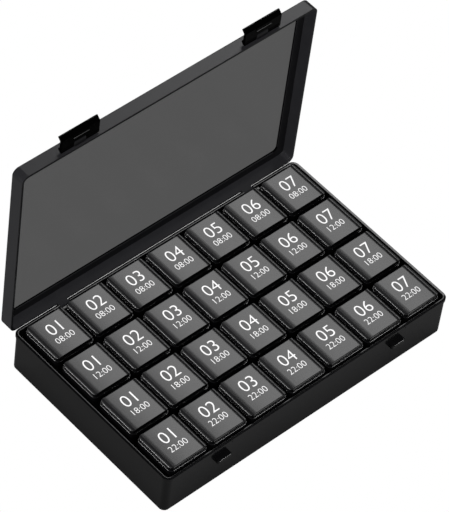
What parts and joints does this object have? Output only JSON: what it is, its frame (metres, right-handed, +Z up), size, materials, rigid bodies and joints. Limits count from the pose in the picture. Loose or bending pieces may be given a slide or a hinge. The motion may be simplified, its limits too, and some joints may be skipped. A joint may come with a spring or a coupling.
{
  "type": "weekly pill organizer",
  "caption": "Black pill organizer: a flat case with a hinged lid and two swing latches holds rows of lift-out pill boxes, each with its own flip cap.",
  "frame": {"origin": "centre of the case base's underside", "axes": "+X along the days to the right, +Y back to the lid's hinge, +Z up"},
  "size_m": [0.1968, 0.132, 0.1552],
  "materials": {
    "case_plastic": "satin moulded",
    "lid_plastic": "satin moulded",
    "latch_plastic": "satin moulded",
    "box_plastic": "satin moulded",
    "cap_plastic": "semi-gloss moulded"
  },
  "bodies": {
    "case_base": {"case_base": "case_plastic"},
    "case_lid": {"case_lid": "lid_plastic"},
    "latch_left": {"latch_left": "latch_plastic"},
    "latch_right": {"latch_right": "latch_plastic"},
    "cup_day1_dose1": {"cup_day1_dose1": "box_plastic"},
    "cap_day1_dose1": {"cap_day1_dose1": "cap_plastic"},
    "cup_day1_dose2": {"cup_day1_dose2": "box_plastic"},
    "cap_day1_dose2": {"cap_day1_dose2": "cap_plastic"},
    "cup_day1_dose3": {"cup_day1_dose3": "box_plastic"},
    "cap_day1_dose3": {"cap_day1_dose3": "cap_plastic"},
    "cup_day1_dose4": {"cup_day1_dose4": "box_plastic"},
    "cap_day1_dose4": {"cap_day1_dose4": "cap_plastic"},
    "cup_day2_dose1": {"cup_day2_dose1": "box_plastic"},
    "cap_day2_dose1": {"cap_day2_dose1": "cap_plastic"},
    "cup_day2_dose2": {"cup_day2_dose2": "box_plastic"},
    "cap_day2_dose2": {"cap_day2_dose2": "cap_plastic"},
    "cup_day2_dose3": {"cup_day2_dose3": "box_plastic"},
    "cap_day2_dose3": {"cap_day2_dose3": "cap_plastic"},
    "cup_day2_dose4": {"cup_day2_dose4": "box_plastic"},
    "cap_day2_dose4": {"cap_day2_dose4": "cap_plastic"},
    "cup_day3_dose1": {"cup_day3_dose1": "box_plastic"},
    "cap_day3_dose1": {"cap_day3_dose1": "cap_plastic"},
    "cup_day3_dose2": {"cup_day3_dose2": "box_plastic"},
    "cap_day3_dose2": {"cap_day3_dose2": "cap_plastic"},
    "cup_day3_dose3": {"cup_day3_dose3": "box_plastic"},
    "cap_day3_dose3": {"cap_day3_dose3": "cap_plastic"},
    "cup_day3_dose4": {"cup_day3_dose4": "box_plastic"},
    "cap_day3_dose4": {"cap_day3_dose4": "cap_plastic"},
    "cup_day4_dose1": {"cup_day4_dose1": "box_plastic"},
    "cap_day4_dose1": {"cap_day4_dose1": "cap_plastic"},
    "cup_day4_dose2": {"cup_day4_dose2": "box_plastic"},
    "cap_day4_dose2": {"cap_day4_dose2": "cap_plastic"},
    "cup_day4_dose3": {"cup_day4_dose3": "box_plastic"},
    "cap_day4_dose3": {"cap_day4_dose3": "cap_plastic"},
    "cup_day4_dose4": {"cup_day4_dose4": "box_plastic"},
    "cap_day4_dose4": {"cap_day4_dose4": "cap_plastic"},
    "cup_day5_dose1": {"cup_day5_dose1": "box_plastic"},
    "cap_day5_dose1": {"cap_day5_dose1": "cap_plastic"},
    "cup_day5_dose2": {"cup_day5_dose2": "box_plastic"},
    "cap_day5_dose2": {"cap_day5_dose2": "cap_plastic"},
    "cup_day5_dose3": {"cup_day5_dose3": "box_plastic"},
    "cap_day5_dose3": {"cap_day5_dose3": "cap_plastic"},
    "cup_day5_dose4": {"cup_day5_dose4": "box_plastic"},
    "cap_day5_dose4": {"cap_day5_dose4": "cap_plastic"},
    "cup_day6_dose1": {"cup_day6_dose1": "box_plastic"},
    "cap_day6_dose1": {"cap_day6_dose1": "cap_plastic"},
    "cup_day6_dose2": {"cup_day6_dose2": "box_plastic"},
    "cap_day6_dose2": {"cap_day6_dose2": "cap_plastic"},
    "cup_day6_dose3": {"cup_day6_dose3": "box_plastic"},
    "cap_day6_dose3": {"cap_day6_dose3": "cap_plastic"},
    "cup_day6_dose4": {"cup_day6_dose4": "box_plastic"},
    "cap_day6_dose4": {"cap_day6_dose4": "cap_plastic"},
    "cup_day7_dose1": {"cup_day7_dose1": "box_plastic"},
    "cap_day7_dose1": {"cap_day7_dose1": "cap_plastic"},
    "cup_day7_dose2": {"cup_day7_dose2": "box_plastic"},
    "cap_day7_dose2": {"cap_day7_dose2": "cap_plastic"},
    "cup_day7_dose3": {"cup_day7_dose3": "box_plastic"},
    "cap_day7_dose3": {"cap_day7_dose3": "cap_plastic"},
    "cup_day7_dose4": {"cup_day7_dose4": "box_plastic"},
    "cap_day7_dose4": {"cap_day7_dose4": "cap_plastic"}
  },
  "joints": [
    {"name": "lid_hinge", "type": "hinge", "parent": "case_base", "child": "case_lid", "pos_m": [0, 0.0592, 0.02523], "axis": [-1, 0, 0], "range_deg": [-90, 0]},
    {"name": "latch_left_hinge", "type": "hinge", "parent": "case_lid", "child": "latch_left", "pos_m": [-0.0606, 0.06362, 0.14608], "axis": [-1, 0, 0], "range_deg": [-90, 0]},
    {"name": "latch_right_hinge", "type": "hinge", "parent": "case_lid", "child": "latch_right", "pos_m": [0.0606, 0.06362, 0.14608], "axis": [-1, 0, 0], "range_deg": [-90, 0]},
    {"name": "lift_day1_dose1", "type": "slide", "parent": "case_base", "child": "cup_day1_dose1", "axis": [0, 0, 1], "range_m": [0, 0.03]},
    {"name": "flip_day1_dose1", "type": "hinge", "parent": "cup_day1_dose1", "child": "cap_day1_dose1", "pos_m": [-0.081, 0.0547, 0.02975], "axis": [-1, 0, 0], "range_deg": [0, 100]},
    {"name": "lift_day1_dose2", "type": "slide", "parent": "case_base", "child": "cup_day1_dose2", "axis": [0, 0, 1], "range_m": [0, 0.03]},
    {"name": "flip_day1_dose2", "type": "hinge", "parent": "cup_day1_dose2", "child": "cap_day1_dose2", "pos_m": [-0.081, 0.0256, 0.02975], "axis": [-1, 0, 0], "range_deg": [0, 100]},
    {"name": "lift_day1_dose3", "type": "slide", "parent": "case_base", "child": "cup_day1_dose3", "axis": [0, 0, 1], "range_m": [0, 0.03]},
    {"name": "flip_day1_dose3", "type": "hinge", "parent": "cup_day1_dose3", "child": "cap_day1_dose3", "pos_m": [-0.081, -0.0035, 0.02975], "axis": [-1, 0, 0], "range_deg": [0, 100]},
    {"name": "lift_day1_dose4", "type": "slide", "parent": "case_base", "child": "cup_day1_dose4", "axis": [0, 0, 1], "range_m": [0, 0.03]},
    {"name": "flip_day1_dose4", "type": "hinge", "parent": "cup_day1_dose4", "child": "cap_day1_dose4", "pos_m": [-0.081, -0.0326, 0.02975], "axis": [-1, 0, 0], "range_deg": [0, 100]},
    {"name": "lift_day2_dose1", "type": "slide", "parent": "case_base", "child": "cup_day2_dose1", "axis": [0, 0, 1], "range_m": [0, 0.03]},
    {"name": "flip_day2_dose1", "type": "hinge", "parent": "cup_day2_dose1", "child": "cap_day2_dose1", "pos_m": [-0.054, 0.0547, 0.02975], "axis": [-1, 0, 0], "range_deg": [0, 100]},
    {"name": "lift_day2_dose2", "type": "slide", "parent": "case_base", "child": "cup_day2_dose2", "axis": [0, 0, 1], "range_m": [0, 0.03]},
    {"name": "flip_day2_dose2", "type": "hinge", "parent": "cup_day2_dose2", "child": "cap_day2_dose2", "pos_m": [-0.054, 0.0256, 0.02975], "axis": [-1, 0, 0], "range_deg": [0, 100]},
    {"name": "lift_day2_dose3", "type": "slide", "parent": "case_base", "child": "cup_day2_dose3", "axis": [0, 0, 1], "range_m": [0, 0.03]},
    {"name": "flip_day2_dose3", "type": "hinge", "parent": "cup_day2_dose3", "child": "cap_day2_dose3", "pos_m": [-0.054, -0.0035, 0.02975], "axis": [-1, 0, 0], "range_deg": [0, 100]},
    {"name": "lift_day2_dose4", "type": "slide", "parent": "case_base", "child": "cup_day2_dose4", "axis": [0, 0, 1], "range_m": [0, 0.03]},
    {"name": "flip_day2_dose4", "type": "hinge", "parent": "cup_day2_dose4", "child": "cap_day2_dose4", "pos_m": [-0.054, -0.0326, 0.02975], "axis": [-1, 0, 0], "range_deg": [0, 100]},
    {"name": "lift_day3_dose1", "type": "slide", "parent": "case_base", "child": "cup_day3_dose1", "axis": [0, 0, 1], "range_m": [0, 0.03]},
    {"name": "flip_day3_dose1", "type": "hinge", "parent": "cup_day3_dose1", "child": "cap_day3_dose1", "pos_m": [-0.027, 0.0547, 0.02975], "axis": [-1, 0, 0], "range_deg": [0, 100]},
    {"name": "lift_day3_dose2", "type": "slide", "parent": "case_base", "child": "cup_day3_dose2", "axis": [0, 0, 1], "range_m": [0, 0.03]},
    {"name": "flip_day3_dose2", "type": "hinge", "parent": "cup_day3_dose2", "child": "cap_day3_dose2", "pos_m": [-0.027, 0.0256, 0.02975], "axis": [-1, 0, 0], "range_deg": [0, 100]},
    {"name": "lift_day3_dose3", "type": "slide", "parent": "case_base", "child": "cup_day3_dose3", "axis": [0, 0, 1], "range_m": [0, 0.03]},
    {"name": "flip_day3_dose3", "type": "hinge", "parent": "cup_day3_dose3", "child": "cap_day3_dose3", "pos_m": [-0.027, -0.0035, 0.02975], "axis": [-1, 0, 0], "range_deg": [0, 100]},
    {"name": "lift_day3_dose4", "type": "slide", "parent": "case_base", "child": "cup_day3_dose4", "axis": [0, 0, 1], "range_m": [0, 0.03]},
    {"name": "flip_day3_dose4", "type": "hinge", "parent": "cup_day3_dose4", "child": "cap_day3_dose4", "pos_m": [-0.027, -0.0326, 0.02975], "axis": [-1, 0, 0], "range_deg": [0, 100]},
    {"name": "lift_day4_dose1", "type": "slide", "parent": "case_base", "child": "cup_day4_dose1", "axis": [0, 0, 1], "range_m": [0, 0.03]},
    {"name": "flip_day4_dose1", "type": "hinge", "parent": "cup_day4_dose1", "child": "cap_day4_dose1", "pos_m": [0, 0.0547, 0.02975], "axis": [-1, 0, 0], "range_deg": [0, 100]},
    {"name": "lift_day4_dose2", "type": "slide", "parent": "case_base", "child": "cup_day4_dose2", "axis": [0, 0, 1], "range_m": [0, 0.03]},
    {"name": "flip_day4_dose2", "type": "hinge", "parent": "cup_day4_dose2", "child": "cap_day4_dose2", "pos_m": [0, 0.0256, 0.02975], "axis": [-1, 0, 0], "range_deg": [0, 100]},
    {"name": "lift_day4_dose3", "type": "slide", "parent": "case_base", "child": "cup_day4_dose3", "axis": [0, 0, 1], "range_m": [0, 0.03]},
    {"name": "flip_day4_dose3", "type": "hinge", "parent": "cup_day4_dose3", "child": "cap_day4_dose3", "pos_m": [0, -0.0035, 0.02975], "axis": [-1, 0, 0], "range_deg": [0, 100]},
    {"name": "lift_day4_dose4", "type": "slide", "parent": "case_base", "child": "cup_day4_dose4", "axis": [0, 0, 1], "range_m": [0, 0.03]},
    {"name": "flip_day4_dose4", "type": "hinge", "parent": "cup_day4_dose4", "child": "cap_day4_dose4", "pos_m": [0, -0.0326, 0.02975], "axis": [-1, 0, 0], "range_deg": [0, 100]},
    {"name": "lift_day5_dose1", "type": "slide", "parent": "case_base", "child": "cup_day5_dose1", "axis": [0, 0, 1], "range_m": [0, 0.03]},
    {"name": "flip_day5_dose1", "type": "hinge", "parent": "cup_day5_dose1", "child": "cap_day5_dose1", "pos_m": [0.027, 0.0547, 0.02975], "axis": [-1, 0, 0], "range_deg": [0, 100]},
    {"name": "lift_day5_dose2", "type": "slide", "parent": "case_base", "child": "cup_day5_dose2", "axis": [0, 0, 1], "range_m": [0, 0.03]},
    {"name": "flip_day5_dose2", "type": "hinge", "parent": "cup_day5_dose2", "child": "cap_day5_dose2", "pos_m": [0.027, 0.0256, 0.02975], "axis": [-1, 0, 0], "range_deg": [0, 100]},
    {"name": "lift_day5_dose3", "type": "slide", "parent": "case_base", "child": "cup_day5_dose3", "axis": [0, 0, 1], "range_m": [0, 0.03]},
    {"name": "flip_day5_dose3", "type": "hinge", "parent": "cup_day5_dose3", "child": "cap_day5_dose3", "pos_m": [0.027, -0.0035, 0.02975], "axis": [-1, 0, 0], "range_deg": [0, 100]},
    {"name": "lift_day5_dose4", "type": "slide", "parent": "case_base", "child": "cup_day5_dose4", "axis": [0, 0, 1], "range_m": [0, 0.03]},
    {"name": "flip_day5_dose4", "type": "hinge", "parent": "cup_day5_dose4", "child": "cap_day5_dose4", "pos_m": [0.027, -0.0326, 0.02975], "axis": [-1, 0, 0], "range_deg": [0, 100]},
    {"name": "lift_day6_dose1", "type": "slide", "parent": "case_base", "child": "cup_day6_dose1", "axis": [0, 0, 1], "range_m": [0, 0.03]},
    {"name": "flip_day6_dose1", "type": "hinge", "parent": "cup_day6_dose1", "child": "cap_day6_dose1", "pos_m": [0.054, 0.0547, 0.02975], "axis": [-1, 0, 0], "range_deg": [0, 100]},
    {"name": "lift_day6_dose2", "type": "slide", "parent": "case_base", "child": "cup_day6_dose2", "axis": [0, 0, 1], "range_m": [0, 0.03]},
    {"name": "flip_day6_dose2", "type": "hinge", "parent": "cup_day6_dose2", "child": "cap_day6_dose2", "pos_m": [0.054, 0.0256, 0.02975], "axis": [-1, 0, 0], "range_deg": [0, 100]},
    {"name": "lift_day6_dose3", "type": "slide", "parent": "case_base", "child": "cup_day6_dose3", "axis": [0, 0, 1], "range_m": [0, 0.03]},
    {"name": "flip_day6_dose3", "type": "hinge", "parent": "cup_day6_dose3", "child": "cap_day6_dose3", "pos_m": [0.054, -0.0035, 0.02975], "axis": [-1, 0, 0], "range_deg": [0, 100]},
    {"name": "lift_day6_dose4", "type": "slide", "parent": "case_base", "child": "cup_day6_dose4", "axis": [0, 0, 1], "range_m": [0, 0.03]},
    {"name": "flip_day6_dose4", "type": "hinge", "parent": "cup_day6_dose4", "child": "cap_day6_dose4", "pos_m": [0.054, -0.0326, 0.02975], "axis": [-1, 0, 0], "range_deg": [0, 100]},
    {"name": "lift_day7_dose1", "type": "slide", "parent": "case_base", "child": "cup_day7_dose1", "axis": [0, 0, 1], "range_m": [0, 0.03]},
    {"name": "flip_day7_dose1", "type": "hinge", "parent": "cup_day7_dose1", "child": "cap_day7_dose1", "pos_m": [0.081, 0.0547, 0.02975], "axis": [-1, 0, 0], "range_deg": [0, 100]},
    {"name": "lift_day7_dose2", "type": "slide", "parent": "case_base", "child": "cup_day7_dose2", "axis": [0, 0, 1], "range_m": [0, 0.03]},
    {"name": "flip_day7_dose2", "type": "hinge", "parent": "cup_day7_dose2", "child": "cap_day7_dose2", "pos_m": [0.081, 0.0256, 0.02975], "axis": [-1, 0, 0], "range_deg": [0, 100]},
    {"name": "lift_day7_dose3", "type": "slide", "parent": "case_base", "child": "cup_day7_dose3", "axis": [0, 0, 1], "range_m": [0, 0.03]},
    {"name": "flip_day7_dose3", "type": "hinge", "parent": "cup_day7_dose3", "child": "cap_day7_dose3", "pos_m": [0.081, -0.0035, 0.02975], "axis": [-1, 0, 0], "range_deg": [0, 100]},
    {"name": "lift_day7_dose4", "type": "slide", "parent": "case_base", "child": "cup_day7_dose4", "axis": [0, 0, 1], "range_m": [0, 0.03]},
    {"name": "flip_day7_dose4", "type": "hinge", "parent": "cup_day7_dose4", "child": "cap_day7_dose4", "pos_m": [0.081, -0.0326, 0.02975], "axis": [-1, 0, 0], "range_deg": [0, 100]}
  ]
}
